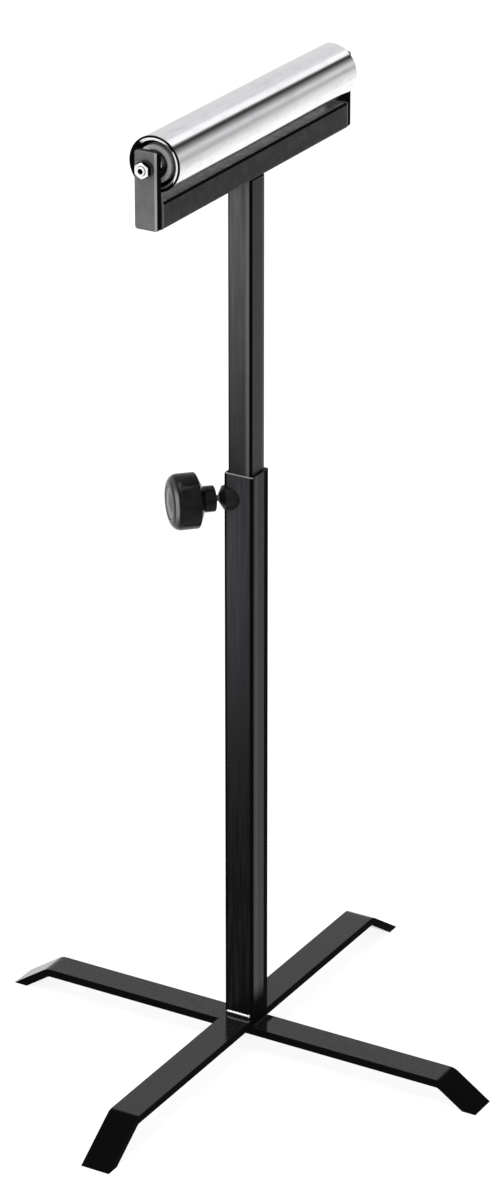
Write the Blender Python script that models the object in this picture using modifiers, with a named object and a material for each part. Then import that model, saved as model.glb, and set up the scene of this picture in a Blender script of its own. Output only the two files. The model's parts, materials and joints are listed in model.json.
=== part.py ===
"""Roller stand: a chromed roller on a square mast that slides in a column and is clamped by a knob.

Metres, +Z up. The origin is on the floor under the column. The roller lies along X, its near end at -X.
"""

import math

import bmesh
import bpy

# Gap that stands for contact between two pieces that seat on each other
SEAT_GAP = 0.0003
ROUND_STEPS = 40
SMALL_ROUND_STEPS = 24
SMOOTH_ANGLE = math.radians(32)

# Base: two flat bars crossing, the bar along X on top of the bar along Y
LEG_WIDTH = 0.030
LEG_THICKNESS = 0.008
LEG_TOP_HEIGHT = 0.034
UPPER_BAR_REACH = 0.227
LOWER_BAR_REACH = 0.219
LEG_BEND_ANGLE = math.radians(34)
LEG_BEND_RADIUS = 0.006
LEG_BEND_STEPS = 5
LEG_EDGE_ROUND = 0.0006

# Column and mast: square steel tubes, one inside the other
COLUMN_SIDE = 0.030
COLUMN_WALL = 0.002
COLUMN_TOP_HEIGHT = 0.596
MAST_SIDE = 0.025
MAST_WALL = 0.0015
MAST_EXPOSED_LENGTH = 0.283
MAST_INSERTED_LENGTH = 0.220
COLUMN_CORNER_RADIUS = 0.0015
MAST_CORNER_RADIUS = 0.0025
TUBE_BORE_CORNER = 0.0005
TUBE_CORNER_STEPS = 5
TUBE_RIM_CHAMFER = 0.0004

# Head: a square tube across the mast with a flat plate welded on each end
BEAM_SIDE = 0.025
BEAM_WALL = 0.0015
PLATE_WIDTH = 0.023
PLATE_THICKNESS = 0.0065
PLATE_TOP_ABOVE_AXLE = 0.0152
PLATE_CORNER_RADIUS = 0.0025
PLATE_EDGE_ROUND = 0.0005
AXLE_ABOVE_BEAM = 0.0307

# Roller: chromed tube with a turned housing and a ball bearing in each end
ROLLER_RADIUS = 0.0254
ROLLER_WALL = 0.003
ROLLER_LENGTH = 0.3134
ROLLER_PLATE_GAP = 0.0073
ROLLER_EDGE_ROUND = 0.0012
HOUSING_SET_BACK = 0.001
HOUSING_DEPTH = 0.014
HOUSING_RIM_WALL = 0.0015
HOUSING_HUB_WALL = 0.0037
HOUSING_GROOVE_DEPTH = 0.008
HOUSING_SHOULDER = 0.002
HUB_SET_BACK = 0.0004

BEARING_OUTER_RADIUS = 0.013
BEARING_BORE_RADIUS = 0.005
BEARING_WIDTH = 0.008
BEARING_SET_BACK = 0.0009
BEARING_RING_CHAMFER = 0.0003
OUTER_LAND_RADIUS = 0.0112
INNER_LAND_RADIUS = 0.0068
BALL_RADIUS = 0.00238
BALL_COUNT = 7
RACE_CLEARANCE = 0.0003
RACE_STEPS = 4
CAGE_INNER_RADIUS = 0.0082
CAGE_OUTER_RADIUS = 0.0098
CAGE_BASE = 0.0030
CAGE_CROWN = 0.0014
SHIELD_THICKNESS = 0.0004
SHIELD_SET_BACK = 0.0004

# Axle: journals for the bearings, ends turned down to a thread
AXLE_THREAD_RADIUS = 0.004
AXLE_END_CHAMFER = 0.0006
AXLE_END_PROUD = 0.0012
CENTRE_HOLE_RADIUS = 0.0022
CENTRE_HOLE_DEPTH = 0.0036
SPACER_RADIUS = 0.0065
NUT_ACROSS_FLATS = 0.013
NUT_HEIGHT = 0.006
NUT_CHAMFER = 0.0010
WASHER_RADIUS = 0.008
WASHER_THICKNESS = 0.0014
HOLE_CLEARANCE = 0.0003

# Clamp: a knob with a threaded stud through a boss on the corner of the column
CLAMP_BELOW_TOP = 0.0245
CLAMP_DIRECTION = math.radians(135)
BOSS_RADIUS = 0.0112
BOSS_TIP_RADIUS = 0.0040
BOSS_LAND = 0.0010
BOSS_CONE_LENGTH = 0.0042
BOSS_SKIRT_LENGTH = 0.0125
STUD_RADIUS = 0.003
STUD_TIP_CHAMFER = 0.0010
STUD_IN_KNOB = 0.031
KNOB_STAND_OFF = 0.0045
KNOB_NECK_RADIUS = 0.0123
KNOB_NECK_CHAMFER = 0.0007
KNOB_NECK_LENGTH = 0.0112
KNOB_RADIUS = 0.0262
KNOB_BACK_CONE = 0.0054
KNOB_BAND_LENGTH = 0.0165
KNOB_SHOULDER_RADIUS = 0.0090
KNOB_FACE_GROOVE_RADIUS = 0.0160
KNOB_FACE_GROOVE_WIDTH = 0.0010
KNOB_FACE_RISE = 0.0010

# Derived places
COLUMN_FOOT = LEG_TOP_HEIGHT + SEAT_GAP
BEAM_BOTTOM = COLUMN_TOP_HEIGHT + MAST_EXPOSED_LENGTH
BEAM_TOP = BEAM_BOTTOM + BEAM_SIDE
AXLE_HEIGHT = BEAM_TOP + AXLE_ABOVE_BEAM
ROLLER_END = ROLLER_LENGTH / 2
PLATE_INNER_FACE = ROLLER_END + ROLLER_PLATE_GAP
PLATE_OUTER_FACE = PLATE_INNER_FACE + PLATE_THICKNESS
ROLLER_BORE_RADIUS = ROLLER_RADIUS - ROLLER_WALL
BEARING_FACE = ROLLER_END - BEARING_SET_BACK
BEARING_CENTRE = BEARING_FACE - BEARING_WIDTH / 2
BALL_CIRCLE_RADIUS = (OUTER_LAND_RADIUS + INNER_LAND_RADIUS) / 2
JOURNAL_RADIUS = BEARING_BORE_RADIUS - SEAT_GAP
CLAMP_HEIGHT = COLUMN_TOP_HEIGHT - CLAMP_BELOW_TOP


def corner_distance(side, corner_radius):
    """Distance from a square tube's axis to its rounded corner."""
    return (side / 2 - corner_radius) * math.sqrt(2) + corner_radius


COLUMN_CORNER = corner_distance(COLUMN_SIDE, COLUMN_CORNER_RADIUS)
MAST_CORNER = corner_distance(MAST_SIDE, MAST_CORNER_RADIUS)
BOSS_SEAT = COLUMN_CORNER + SEAT_GAP
BOSS_SHOULDER = BOSS_SEAT + BOSS_LAND
BOSS_END = BOSS_SHOULDER + BOSS_CONE_LENGTH
STUD_TIP = MAST_CORNER + SEAT_GAP
KNOB_START = BOSS_END + KNOB_STAND_OFF


def clear_scene():
    for thing in list(bpy.data.objects):
        bpy.data.objects.remove(thing, do_unlink=True)


def new_collection(name):
    collection = bpy.data.collections.new(name)
    bpy.context.scene.collection.children.link(collection)
    return collection


def surface(name, colour, roughness, metallic):
    material = bpy.data.materials.new(name)
    material.use_nodes = True
    shader = material.node_tree.nodes["Principled BSDF"]
    shader.inputs["Base Color"].default_value = (*colour, 1.0)
    shader.inputs["Roughness"].default_value = roughness
    shader.inputs["Metallic"].default_value = metallic
    return material


clear_scene()
PARTS = new_collection("roller_stand")
CUTTERS = new_collection("cutters")

BLACK_ENAMEL = surface("black_enamel", (0.022, 0.024, 0.027), 0.28, 0.0)
CHROME = surface("roller_chrome", (0.80, 0.81, 0.82), 0.12, 1.0)
ZINC = surface("zinc_plate", (0.72, 0.72, 0.70), 0.30, 1.0)
TURNED_STEEL = surface("turned_steel", (0.42, 0.43, 0.44), 0.38, 1.0)
BEARING_STEEL = surface("bearing_steel", (0.62, 0.62, 0.63), 0.18, 1.0)
BLACK_PLASTIC = surface("black_plastic", (0.030, 0.032, 0.035), 0.35, 0.0)


def empty(name, location, rotation=(0.0, 0.0, 0.0)):
    """An unseen holder that carries pieces on a joint's axis."""
    holder = bpy.data.objects.new(name, None)
    holder.location = location
    holder.rotation_euler = rotation
    PARTS.objects.link(holder)
    return holder


def place(piece, holder=None, location=(0.0, 0.0, 0.0), rotation=(0.0, 0.0, 0.0)):
    piece.location = location
    piece.rotation_euler = rotation
    if holder is not None:
        piece.parent = holder
    return piece


def settle(source, material):
    """Replace an object by its evaluated mesh, welded, with rounds smooth and edges sharp."""
    bpy.context.view_layer.update()
    graph = bpy.context.evaluated_depsgraph_get()
    mesh = bpy.data.meshes.new_from_object(source.evaluated_get(graph), depsgraph=graph)
    shape = bmesh.new()
    shape.from_mesh(mesh)
    bmesh.ops.remove_doubles(shape, verts=shape.verts[:], dist=0.000005)
    bmesh.ops.recalc_face_normals(shape, faces=shape.faces[:])
    shape.to_mesh(mesh)
    shape.free()
    mesh.materials.clear()
    if material is not None:
        mesh.materials.append(material)
    mesh.shade_smooth()
    mesh.set_sharp_from_angle(angle=SMOOTH_ANGLE)
    name = source.name
    collections = list(source.users_collection)
    placed = source.matrix_world.copy()
    bpy.data.objects.remove(source, do_unlink=True)
    piece = bpy.data.objects.new(name, mesh)
    mesh.name = name
    piece.matrix_world = placed
    for collection in collections:
        collection.objects.link(piece)
    return piece


def plate_from_outlines(name, outlines, thickness, material, edge_round=0.0, collection=None):
    """A flat piece: closed outlines in XY, the later ones holes, extruded evenly about Z."""
    curve = bpy.data.curves.new(name, "CURVE")
    curve.dimensions = "2D"
    curve.fill_mode = "BOTH"
    curve.extrude = thickness / 2
    for outline in outlines:
        spline = curve.splines.new("POLY")
        spline.points.add(len(outline) - 1)
        for point, (x, y) in zip(spline.points, outline):
            point.co = (x, y, 0.0, 1.0)
        spline.use_cyclic_u = True
    piece = bpy.data.objects.new(name, curve)
    (collection or PARTS).objects.link(piece)
    piece = settle(piece, material)
    if edge_round:
        round_edges(piece, edge_round)
        piece = settle(piece, material)
    return piece


def round_edges(piece, width, segments=1):
    bevel = piece.modifiers.new("edge_round", "BEVEL")
    bevel.width = width
    bevel.segments = segments
    bevel.limit_method = "ANGLE"
    bevel.angle_limit = math.radians(60)


def turned(name, profile, material, steps=ROUND_STEPS, closed=False, collection=None):
    """A piece turned about Z from a profile of (radius, height) that runs down its outer side."""
    mesh = bpy.data.meshes.new(name)
    points = [(radius, 0.0, height) for radius, height in profile]
    edges = [(i, i + 1) for i in range(len(points) - 1)]
    if closed:
        edges.append((len(points) - 1, 0))
    mesh.from_pydata(points, edges, [])
    piece = bpy.data.objects.new(name, mesh)
    (collection or PARTS).objects.link(piece)
    screw = piece.modifiers.new("turn", "SCREW")
    screw.axis = "Z"
    screw.angle = math.tau
    screw.steps = steps
    screw.render_steps = steps
    screw.use_merge_vertices = True
    screw.merge_threshold = 0.000001
    return settle(piece, material)


def arc(centre, radius, start, end, steps):
    """Points on an arc, angles in radians from the first axis, both ends included."""
    turn = [start + (end - start) * i / steps for i in range(steps + 1)]
    return [(centre[0] + radius * math.cos(t), centre[1] + radius * math.sin(t)) for t in turn]


def circle(radius, steps=SMALL_ROUND_STEPS):
    return arc((0.0, 0.0), radius, 0.0, math.tau * (steps - 1) / steps, steps - 1)


def rounded_rectangle(width, height, radius, steps):
    points = []
    for quarter, (sx, sy) in enumerate(((1, 1), (-1, 1), (-1, -1), (1, -1))):
        centre = (sx * (width / 2 - radius), sy * (height / 2 - radius))
        start = quarter * math.pi / 2
        points += arc(centre, radius, start, start + math.pi / 2, steps)
    return points


def square_tube(name, side, wall, corner_radius, length):
    """A square tube along Z, centred on the origin, with chamfered rims."""
    outer = rounded_rectangle(side, side, corner_radius, TUBE_CORNER_STEPS)
    bore_side = side - 2 * wall
    bore_corner = max(corner_radius - wall, TUBE_BORE_CORNER)
    bore = rounded_rectangle(bore_side, bore_side, bore_corner, TUBE_CORNER_STEPS)
    return plate_from_outlines(name, (outer, bore), length, BLACK_ENAMEL, TUBE_RIM_CHAMFER)


def cut(piece, cutter, operation="DIFFERENCE"):
    """Cut a piece by another object, which is kept unseen among the cutters."""
    for collection in list(cutter.users_collection):
        collection.objects.unlink(cutter)
    CUTTERS.objects.link(cutter)
    cutter.hide_render = True
    cutter.display_type = "WIRE"
    material = piece.data.materials[0]
    boolean = piece.modifiers.new("cut", "BOOLEAN")
    boolean.operation = operation
    boolean.object = cutter
    return settle(piece, material)


def leg_side_outline(reach, top_height):
    """Side view of a bar along X whose ends are bent down and cut level with the floor."""
    outer_radius = LEG_BEND_RADIUS + LEG_THICKNESS
    tangent = outer_radius * math.tan(LEG_BEND_ANGLE / 2)
    centre_x = reach - tangent
    centre_z = top_height - outer_radius
    down = math.pi / 2 - LEG_BEND_ANGLE
    tip = reach + top_height / math.tan(LEG_BEND_ANGLE)
    heel = tip - LEG_THICKNESS / math.sin(LEG_BEND_ANGLE)
    top_bend = arc((centre_x, centre_z), outer_radius, math.pi / 2, down, LEG_BEND_STEPS)
    under_bend = arc((centre_x, centre_z), LEG_BEND_RADIUS, down, math.pi / 2, LEG_BEND_STEPS)
    half = top_bend + [(tip, 0.0), (heel, 0.0)] + under_bend
    return half + [(-x, z) for x, z in reversed(half)]


def leg_bar(name, reach, top_height, heading):
    outline = leg_side_outline(reach, top_height)
    bar = plate_from_outlines(name, (outline,), LEG_WIDTH, BLACK_ENAMEL, LEG_EDGE_ROUND)
    return place(bar, rotation=(math.pi / 2, 0.0, heading))


def outer_column():
    length = COLUMN_TOP_HEIGHT - COLUMN_FOOT
    column = square_tube("outer_column", COLUMN_SIDE, COLUMN_WALL, COLUMN_CORNER_RADIUS, length)
    place(column, location=(0.0, 0.0, COLUMN_FOOT + length / 2))
    hole_radius = STUD_RADIUS + HOLE_CLEARANCE
    hole = turned(
        "stud_hole",
        [(0.0, BOSS_SEAT), (hole_radius, BOSS_SEAT), (hole_radius, 0.0), (0.0, 0.0)],
        None,
        SMALL_ROUND_STEPS,
    )
    place(hole, location=(0.0, 0.0, CLAMP_HEIGHT), rotation=(0.0, math.pi / 2, CLAMP_DIRECTION))
    return cut(column, hole)


def clamp_boss(holder):
    """Turned boss, threaded for the stud, whose skirt is cut to sit over the column's corner."""
    bore = STUD_RADIUS + HOLE_CLEARANCE
    skirt_start = BOSS_SEAT - BOSS_SKIRT_LENGTH
    profile = [
        (bore, BOSS_END),
        (BOSS_TIP_RADIUS, BOSS_END),
        (BOSS_RADIUS, BOSS_SHOULDER),
        (BOSS_RADIUS, skirt_start),
        (bore, skirt_start),
    ]
    boss = turned("clamp_boss", profile, BLACK_ENAMEL, SMALL_ROUND_STEPS, closed=True)
    side = COLUMN_SIDE + 2 * SEAT_GAP
    corner = COLUMN_CORNER_RADIUS + SEAT_GAP
    outline = rounded_rectangle(side, side, corner, TUBE_CORNER_STEPS)
    saddle = plate_from_outlines("boss_saddle", (outline,), 4 * BOSS_RADIUS, None, collection=CUTTERS)
    place(saddle, location=holder.location)
    place(boss, location=holder.location, rotation=holder.rotation_euler)
    return cut(boss, saddle)


def clamp_stud(holder):
    end = KNOB_START + STUD_IN_KNOB
    profile = [
        (0.0, end),
        (STUD_RADIUS - AXLE_END_CHAMFER, end),
        (STUD_RADIUS, end - AXLE_END_CHAMFER),
        (STUD_RADIUS, STUD_TIP + STUD_TIP_CHAMFER),
        (STUD_RADIUS - STUD_TIP_CHAMFER, STUD_TIP),
        (0.0, STUD_TIP),
    ]
    stud = turned("clamp_stud", profile, ZINC, SMALL_ROUND_STEPS)
    return place(stud, holder)


def knob_profile():
    neck_end = KNOB_START + KNOB_NECK_LENGTH
    band_start = neck_end + KNOB_BACK_CONE
    band_end = band_start + KNOB_BAND_LENGTH
    face = band_end + KNOB_SHOULDER_RADIUS
    bore = STUD_RADIUS + SEAT_GAP
    bore_end = KNOB_START + STUD_IN_KNOB + SEAT_GAP
    shoulder_centre = (KNOB_RADIUS - KNOB_SHOULDER_RADIUS, band_end)
    shoulder = arc(shoulder_centre, KNOB_SHOULDER_RADIUS, math.pi / 2, 0.0, 5)
    return [
        (0.0, face + KNOB_FACE_RISE),
        (KNOB_FACE_GROOVE_RADIUS - 2 * KNOB_FACE_GROOVE_WIDTH, face + KNOB_FACE_RISE / 2),
        (KNOB_FACE_GROOVE_RADIUS - KNOB_FACE_GROOVE_WIDTH, face),
        (KNOB_FACE_GROOVE_RADIUS - KNOB_FACE_GROOVE_WIDTH, face - KNOB_FACE_GROOVE_WIDTH),
        (KNOB_FACE_GROOVE_RADIUS, face - KNOB_FACE_GROOVE_WIDTH),
        (KNOB_FACE_GROOVE_RADIUS, face),
        *shoulder,
        (KNOB_RADIUS, band_start),
        (KNOB_NECK_RADIUS, neck_end),
        (KNOB_NECK_RADIUS, KNOB_START + KNOB_NECK_CHAMFER),
        (KNOB_NECK_RADIUS - KNOB_NECK_CHAMFER, KNOB_START),
        (bore, KNOB_START),
        (bore, bore_end),
        (0.0, bore_end),
    ]


def clamp_knob(holder):
    """Moulded round knob with a long neck and a ring groove in its face."""
    knob = turned("clamp_knob", knob_profile(), BLACK_PLASTIC)
    place(knob, location=holder.location, rotation=holder.rotation_euler)
    return knob


def end_plate(name, side):
    """Flat plate on one end of the beam, standing up to carry the axle."""
    height = AXLE_HEIGHT + PLATE_TOP_ABOVE_AXLE - BEAM_BOTTOM
    middle = BEAM_BOTTOM + height / 2
    outline = rounded_rectangle(height, PLATE_WIDTH, PLATE_CORNER_RADIUS, 3)
    hole_x = middle - AXLE_HEIGHT
    hole = [(x + hole_x, y) for x, y in circle(AXLE_THREAD_RADIUS + HOLE_CLEARANCE)]
    plate = plate_from_outlines(name, (outline, hole), PLATE_THICKNESS, BLACK_ENAMEL, PLATE_EDGE_ROUND)
    x = side * (PLATE_OUTER_FACE - PLATE_THICKNESS / 2)
    return place(plate, location=(x, 0.0, middle), rotation=(0.0, math.pi / 2, 0.0))


def head_beam():
    length = 2 * (PLATE_INNER_FACE - SEAT_GAP)
    beam = square_tube("head_beam", BEAM_SIDE, BEAM_WALL, MAST_CORNER_RADIUS, length)
    return place(beam, location=(0.0, 0.0, BEAM_BOTTOM + BEAM_SIDE / 2), rotation=(0.0, math.pi / 2, 0.0))


def inner_column():
    top = BEAM_BOTTOM - SEAT_GAP
    length = top - (COLUMN_TOP_HEIGHT - MAST_INSERTED_LENGTH)
    mast = square_tube("inner_column", MAST_SIDE, MAST_WALL, MAST_CORNER_RADIUS, length)
    return place(mast, location=(0.0, 0.0, top - length / 2))


def along_axle(piece, holder, x, side=1):
    """Put a piece on the axle: its own +Z points outboard, towards the end on that side."""
    return place(piece, holder, location=(x, 0.0, 0.0), rotation=(0.0, side * math.pi / 2, 0.0))


def washer_seat():
    return PLATE_OUTER_FACE + SEAT_GAP


def nut_seat():
    return washer_seat() + WASHER_THICKNESS + SEAT_GAP


def axle_half_profile():
    """Outer half of the axle's profile, from the end down to its middle."""
    end = nut_seat() + NUT_HEIGHT + AXLE_END_PROUD
    shoulder = PLATE_INNER_FACE - SEAT_GAP
    return [
        (0.0, end - CENTRE_HOLE_DEPTH),
        (CENTRE_HOLE_RADIUS, end),
        (AXLE_THREAD_RADIUS - AXLE_END_CHAMFER, end),
        (AXLE_THREAD_RADIUS, end - AXLE_END_CHAMFER),
        (AXLE_THREAD_RADIUS, shoulder),
        (JOURNAL_RADIUS, shoulder),
    ]


def axle(holder):
    half = axle_half_profile()
    profile = half + [(radius, -z) for radius, z in reversed(half)]
    rod = turned("axle", profile, TURNED_STEEL, SMALL_ROUND_STEPS)
    return along_axle(rod, holder, 0.0)


def washer(name, holder, side):
    outlines = (circle(WASHER_RADIUS), circle(AXLE_THREAD_RADIUS + HOLE_CLEARANCE))
    ring = plate_from_outlines(name, outlines, WASHER_THICKNESS, ZINC)
    return along_axle(ring, holder, side * (washer_seat() + WASHER_THICKNESS / 2), side)


def hex_nut(name, holder, side):
    """Hexagon nut whose corners are turned off at both faces."""
    corner_radius = NUT_ACROSS_FLATS / math.sqrt(3)
    outlines = (circle(corner_radius, 6), circle(AXLE_THREAD_RADIUS + HOLE_CLEARANCE))
    nut = plate_from_outlines(name, outlines, NUT_HEIGHT, ZINC)
    half = NUT_HEIGHT / 2
    flat_radius = NUT_ACROSS_FLATS / 2
    slope = math.tan(math.radians(30)) * NUT_CHAMFER
    clear = 2 * slope
    profile = [
        (0.0, half + clear),
        (flat_radius, half + clear),
        (flat_radius, half),
        (flat_radius + NUT_CHAMFER, half - slope),
        (flat_radius + NUT_CHAMFER, slope - half),
        (flat_radius, -half),
        (flat_radius, -half - clear),
        (0.0, -half - clear),
    ]
    chamfer = turned(name + "_chamfer", profile, None, SMALL_ROUND_STEPS)
    nut = cut(nut, chamfer, "INTERSECT")
    return along_axle(nut, holder, side * (nut_seat() + half), side)


def spacer(name, holder, side):
    outlines = (circle(SPACER_RADIUS), circle(BEARING_BORE_RADIUS))
    start = BEARING_FACE + SEAT_GAP
    length = PLATE_INNER_FACE - SEAT_GAP - start
    bush = plate_from_outlines(name, outlines, length, TURNED_STEEL)
    return along_axle(bush, holder, side * (start + length / 2), side)


def roller_tube(holder):
    edge = ROLLER_EDGE_ROUND
    outer = arc((ROLLER_RADIUS - edge, ROLLER_END - edge), edge, math.pi / 2, 0.0, 3)
    end = [(ROLLER_BORE_RADIUS, ROLLER_END), *outer]
    profile = end + [(radius, -z) for radius, z in reversed(end)]
    tube = turned("roller_tube", profile, CHROME, closed=True)
    return along_axle(tube, holder, 0.0)


def roller_housing(name, holder, side):
    """Turned end piece: a rim that fits the tube, a groove, and a hub round the bearing."""
    rim = ROLLER_BORE_RADIUS - SEAT_GAP
    rim_face = ROLLER_END - HOUSING_SET_BACK
    hub_face = ROLLER_END - HUB_SET_BACK
    seat_radius = BEARING_OUTER_RADIUS + SEAT_GAP
    hub_radius = seat_radius + HOUSING_HUB_WALL
    groove_bottom = ROLLER_END - HOUSING_GROOVE_DEPTH
    seat_bottom = BEARING_FACE - BEARING_WIDTH - SEAT_GAP
    back = rim_face - HOUSING_DEPTH
    profile = [
        (rim - HOUSING_RIM_WALL, rim_face),
        (rim, rim_face),
        (rim, back),
        (seat_radius - HOUSING_SHOULDER, back),
        (seat_radius - HOUSING_SHOULDER, seat_bottom),
        (seat_radius, seat_bottom),
        (seat_radius, hub_face),
        (hub_radius, hub_face),
        (hub_radius, groove_bottom),
        (rim - HOUSING_RIM_WALL, groove_bottom),
    ]
    housing = turned(name, profile, TURNED_STEEL, closed=True)
    return place(housing, holder, rotation=(0.0, side * math.pi / 2, 0.0))


def race(land_radius, outward):
    """Groove in a ring's land, an arc about the balls' circle."""
    radius = BALL_RADIUS + RACE_CLEARANCE
    half_angle = math.acos(abs(land_radius - BALL_CIRCLE_RADIUS) / radius)
    if outward:
        return arc((BALL_CIRCLE_RADIUS, 0.0), radius, -half_angle, half_angle, RACE_STEPS)
    return arc((BALL_CIRCLE_RADIUS, 0.0), radius, math.pi - half_angle, math.pi + half_angle, RACE_STEPS)


def bearing_outer_ring(name, holder, side):
    half = BEARING_WIDTH / 2
    chamfer = BEARING_RING_CHAMFER
    profile = [
        (OUTER_LAND_RADIUS, half),
        (BEARING_OUTER_RADIUS - chamfer, half),
        (BEARING_OUTER_RADIUS, half - chamfer),
        (BEARING_OUTER_RADIUS, chamfer - half),
        (BEARING_OUTER_RADIUS - chamfer, -half),
        (OUTER_LAND_RADIUS, -half),
        *race(OUTER_LAND_RADIUS, True),
    ]
    ring = turned(name, profile, BEARING_STEEL, closed=True)
    return along_axle(ring, holder, side * BEARING_CENTRE, side)


def bearing_inner_ring(name, holder, side):
    half = BEARING_WIDTH / 2
    chamfer = BEARING_RING_CHAMFER
    profile = [
        (BEARING_BORE_RADIUS, -half),
        (BEARING_BORE_RADIUS, half),
        (INNER_LAND_RADIUS - chamfer, half),
        (INNER_LAND_RADIUS, half - chamfer),
        *race(INNER_LAND_RADIUS, False),
        (INNER_LAND_RADIUS, chamfer - half),
        (INNER_LAND_RADIUS - chamfer, -half),
    ]
    ring = turned(name, profile, BEARING_STEEL, SMALL_ROUND_STEPS, closed=True)
    return along_axle(ring, holder, side * BEARING_CENTRE, side)


def ball_centre(index):
    angle = math.tau * index / BALL_COUNT
    return BALL_CIRCLE_RADIUS * math.cos(angle), BALL_CIRCLE_RADIUS * math.sin(angle), 0.0


def ball_mesh(name, radius, centres):
    shape = bmesh.new()
    for centre in centres:
        made = bmesh.ops.create_icosphere(shape, subdivisions=2, radius=radius)
        bmesh.ops.translate(shape, verts=made["verts"], vec=centre)
    mesh = bpy.data.meshes.new(name)
    shape.to_mesh(mesh)
    shape.free()
    mesh.shade_smooth()
    return mesh


def bearing_balls(end, holder, side):
    """Each ball is a piece of its own, turning about the axle with the cage."""
    for index in range(BALL_COUNT):
        name = f"bearing_ball_{end}_{index + 1}"
        mesh = ball_mesh(name, BALL_RADIUS, (ball_centre(index),))
        mesh.materials.append(BEARING_STEEL)
        ball = bpy.data.objects.new(name, mesh)
        PARTS.objects.link(ball)
        along_axle(ball, holder, side * BEARING_CENTRE, side)


def bearing_cage(name, holder, side):
    """Crown cage: a ring whose pockets open towards the outboard side."""
    profile = [
        (CAGE_INNER_RADIUS, CAGE_CROWN),
        (CAGE_OUTER_RADIUS, CAGE_CROWN),
        (CAGE_OUTER_RADIUS, -CAGE_BASE),
        (CAGE_INNER_RADIUS, -CAGE_BASE),
    ]
    cage = turned(name, profile, BLACK_PLASTIC, SMALL_ROUND_STEPS, closed=True)
    centres = [ball_centre(index) for index in range(BALL_COUNT)]
    pockets_mesh = ball_mesh(name + "_pockets", BALL_RADIUS + SEAT_GAP, centres)
    pockets = bpy.data.objects.new(name + "_pockets", pockets_mesh)
    CUTTERS.objects.link(pockets)
    cage = cut(cage, pockets)
    return along_axle(cage, holder, side * BEARING_CENTRE, side)


def bearing_shield(name, holder, side, outboard):
    outlines = (circle(OUTER_LAND_RADIUS - SEAT_GAP), circle(INNER_LAND_RADIUS + SEAT_GAP))
    shield = plate_from_outlines(name, outlines, SHIELD_THICKNESS, BEARING_STEEL)
    offset = BEARING_WIDTH / 2 - SHIELD_SET_BACK - SHIELD_THICKNESS / 2
    x = BEARING_CENTRE + (offset if outboard else -offset)
    return along_axle(shield, holder, side * x, side)


def build_base():
    leg_bar("upper_leg_bar", UPPER_BAR_REACH, LEG_TOP_HEIGHT, 0.0)
    lower_top = LEG_TOP_HEIGHT - LEG_THICKNESS - SEAT_GAP
    leg_bar("lower_leg_bar", LOWER_BAR_REACH, lower_top, math.pi / 2)
    outer_column()


def build_clamp():
    holder = empty("clamp_axis", (0.0, 0.0, CLAMP_HEIGHT), (0.0, math.pi / 2, CLAMP_DIRECTION))
    clamp_boss(holder)
    clamp_stud(holder)
    clamp_knob(holder)


def build_head():
    inner_column()
    head_beam()
    axis = empty("roller_axis", (0.0, 0.0, AXLE_HEIGHT))
    axle(axis)
    roller_tube(axis)
    for end, side in (("near", -1), ("far", 1)):
        end_plate("end_plate_" + end, side)
        washer("axle_washer_" + end, axis, side)
        hex_nut("axle_nut_" + end, axis, side)
        spacer("axle_spacer_" + end, axis, side)
        roller_housing("roller_housing_" + end, axis, side)
        bearing_outer_ring("bearing_outer_ring_" + end, axis, side)
        bearing_inner_ring("bearing_inner_ring_" + end, axis, side)
        bearing_balls(end, axis, side)
        bearing_cage("bearing_cage_" + end, axis, side)
        bearing_shield("bearing_shield_outboard_" + end, axis, side, True)
        bearing_shield("bearing_shield_inboard_" + end, axis, side, False)


build_base()
build_clamp()
build_head()
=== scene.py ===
import json
import math

import bmesh
import bpy
from mathutils import Matrix, Vector


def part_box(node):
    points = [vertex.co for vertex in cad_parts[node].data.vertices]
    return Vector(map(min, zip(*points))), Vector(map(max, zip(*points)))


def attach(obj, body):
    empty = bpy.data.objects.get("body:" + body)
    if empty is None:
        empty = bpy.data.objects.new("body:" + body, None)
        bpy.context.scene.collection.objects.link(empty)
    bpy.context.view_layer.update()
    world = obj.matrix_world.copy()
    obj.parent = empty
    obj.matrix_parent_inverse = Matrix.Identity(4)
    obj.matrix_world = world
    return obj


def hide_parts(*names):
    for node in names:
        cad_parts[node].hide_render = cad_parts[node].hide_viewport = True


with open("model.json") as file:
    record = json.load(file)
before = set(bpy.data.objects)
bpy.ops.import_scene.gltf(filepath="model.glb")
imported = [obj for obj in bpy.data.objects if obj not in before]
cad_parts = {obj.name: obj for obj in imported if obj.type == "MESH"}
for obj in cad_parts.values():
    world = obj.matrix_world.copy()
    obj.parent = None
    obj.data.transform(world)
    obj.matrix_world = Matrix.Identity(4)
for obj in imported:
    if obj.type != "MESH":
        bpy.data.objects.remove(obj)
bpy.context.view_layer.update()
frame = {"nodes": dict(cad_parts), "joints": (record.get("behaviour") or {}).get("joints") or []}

# The camera, as the photograph was taken
PHOTO_HEIGHT = 1188
FOCAL_PIXELS = 4502.3
SENSOR_HEIGHT_MM = 36.0
CAMERA_HEADING = math.radians(-59.889)
CAMERA_LIFT = math.radians(23.931)
CAMERA_DISTANCE = 4.1629
AIM_HEIGHT = 0.47234
AIM_RIGHT = 0.0034

# The studio: a white sweep that turns grey past the right leg
FLOOR_SIZE = 60.0
FLOOR_DROP = 0.0004
SKY_GREYS = (
    (-180, 0.48),
    (-150, 0.64),
    (-20, 0.78),
    (60, 0.74),
    (88, 0.78),
    (103, 1.12),
    (117, 1.05),
    (124, 0.14),
    (130, 0.035),
    (135, 0.065),
    (142, 0.19),
    (149, 0.33),
    (156, 0.52),
    (165, 0.70),
    (173, 0.62),
    (180, 0.50),
)

# The floor's grey, by how far along the ramp it lies. The ramp runs along Y and ends at the stand
FLOOR_RAMP_LENGTH = 6.0
FLOOR_GREYS = (
    (0.00, 0.46),
    (0.17, 0.50),
    (0.70, 0.72),
    (0.84, 0.87),
    (0.95, 1.00),
)

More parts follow.
